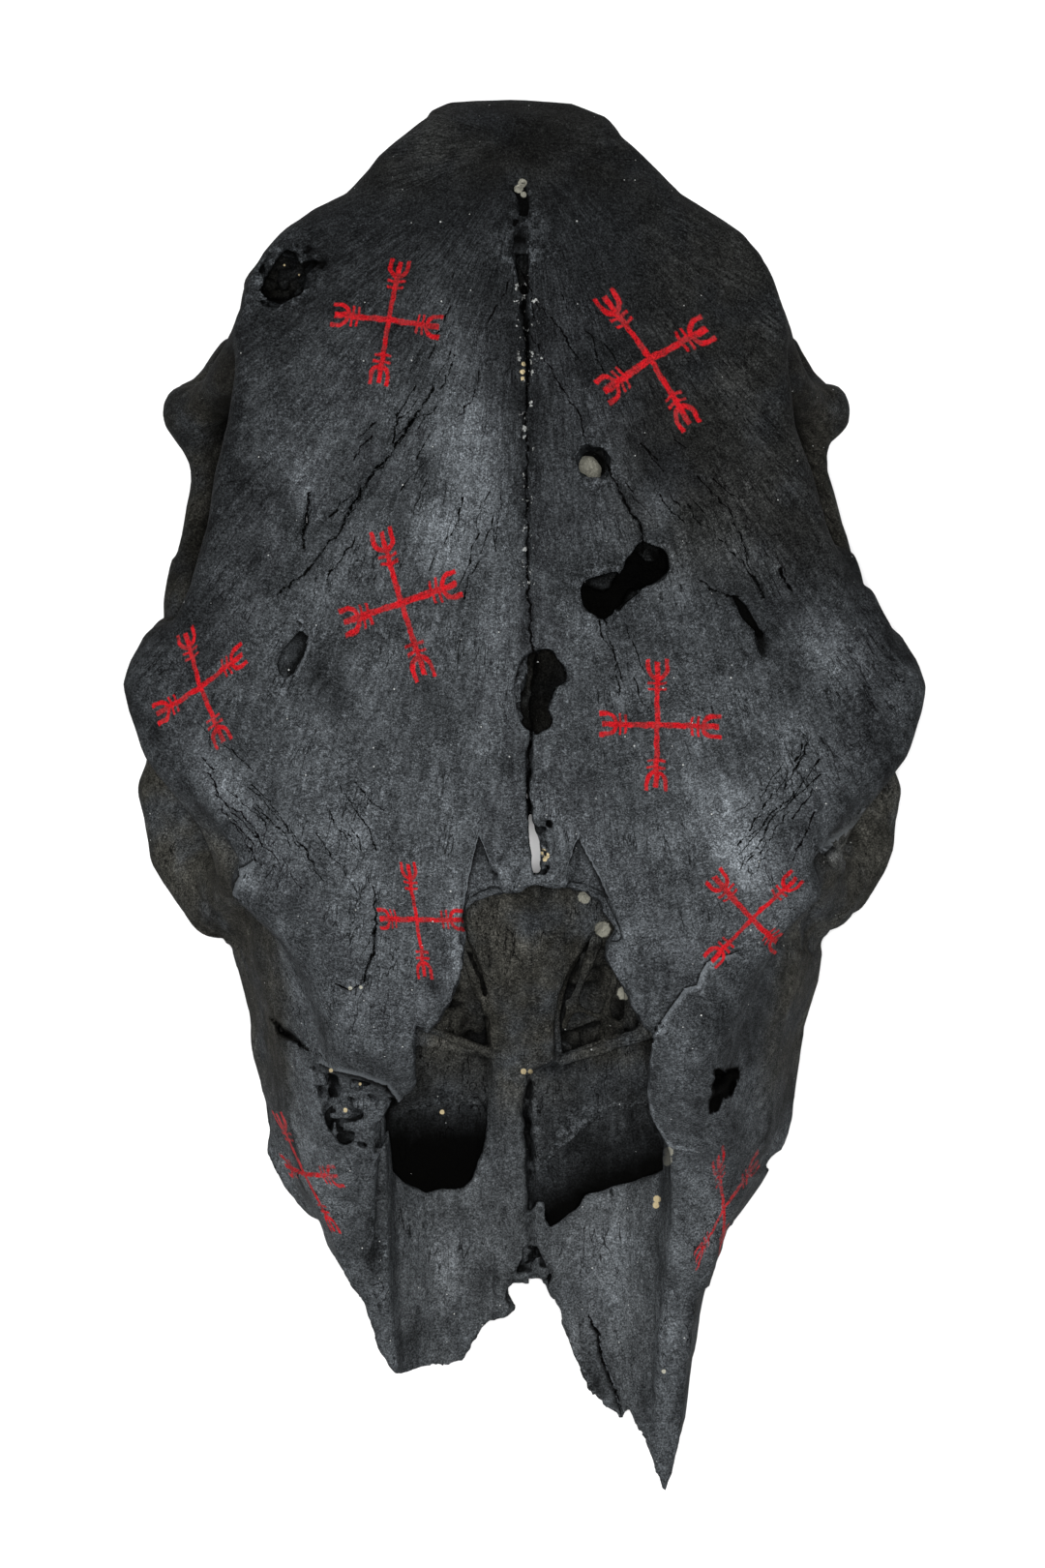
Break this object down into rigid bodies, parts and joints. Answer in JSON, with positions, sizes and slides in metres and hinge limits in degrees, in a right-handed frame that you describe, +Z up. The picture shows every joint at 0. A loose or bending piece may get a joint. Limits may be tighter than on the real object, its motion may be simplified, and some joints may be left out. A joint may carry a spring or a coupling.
{
  "type": "blackened cow skull",
  "caption": "Hornless cow cranium without its lower jaw, weathered, broken at the nose, blackened and painted with red staves; it rests on its molars and occiput.",
  "frame": {"origin": "middle of the bounding box on the surface that the skull rests on", "axes": "+Z up from that surface, -Y towards the snout, +Y towards the poll, +X to the right in the picture"},
  "size_m": [0.211, 0.36, 0.164],
  "materials": {
    "bone": "matte, blackened weathered bone",
    "teeth": "satin, darkened enamel"
  },
  "bodies": {
    "root": {"cranium": "bone", "left_premolar_2": "teeth", "left_premolar_3": "teeth", "left_premolar_4": "teeth", "left_molar_1": "teeth", "left_molar_2": "teeth", "left_molar_3": "teeth", "right_premolar_2": "teeth", "right_premolar_3": "teeth", "right_premolar_4": "teeth", "right_molar_1": "teeth", "right_molar_2": "teeth", "right_molar_3": "teeth"}
  },
  "joints": []
}
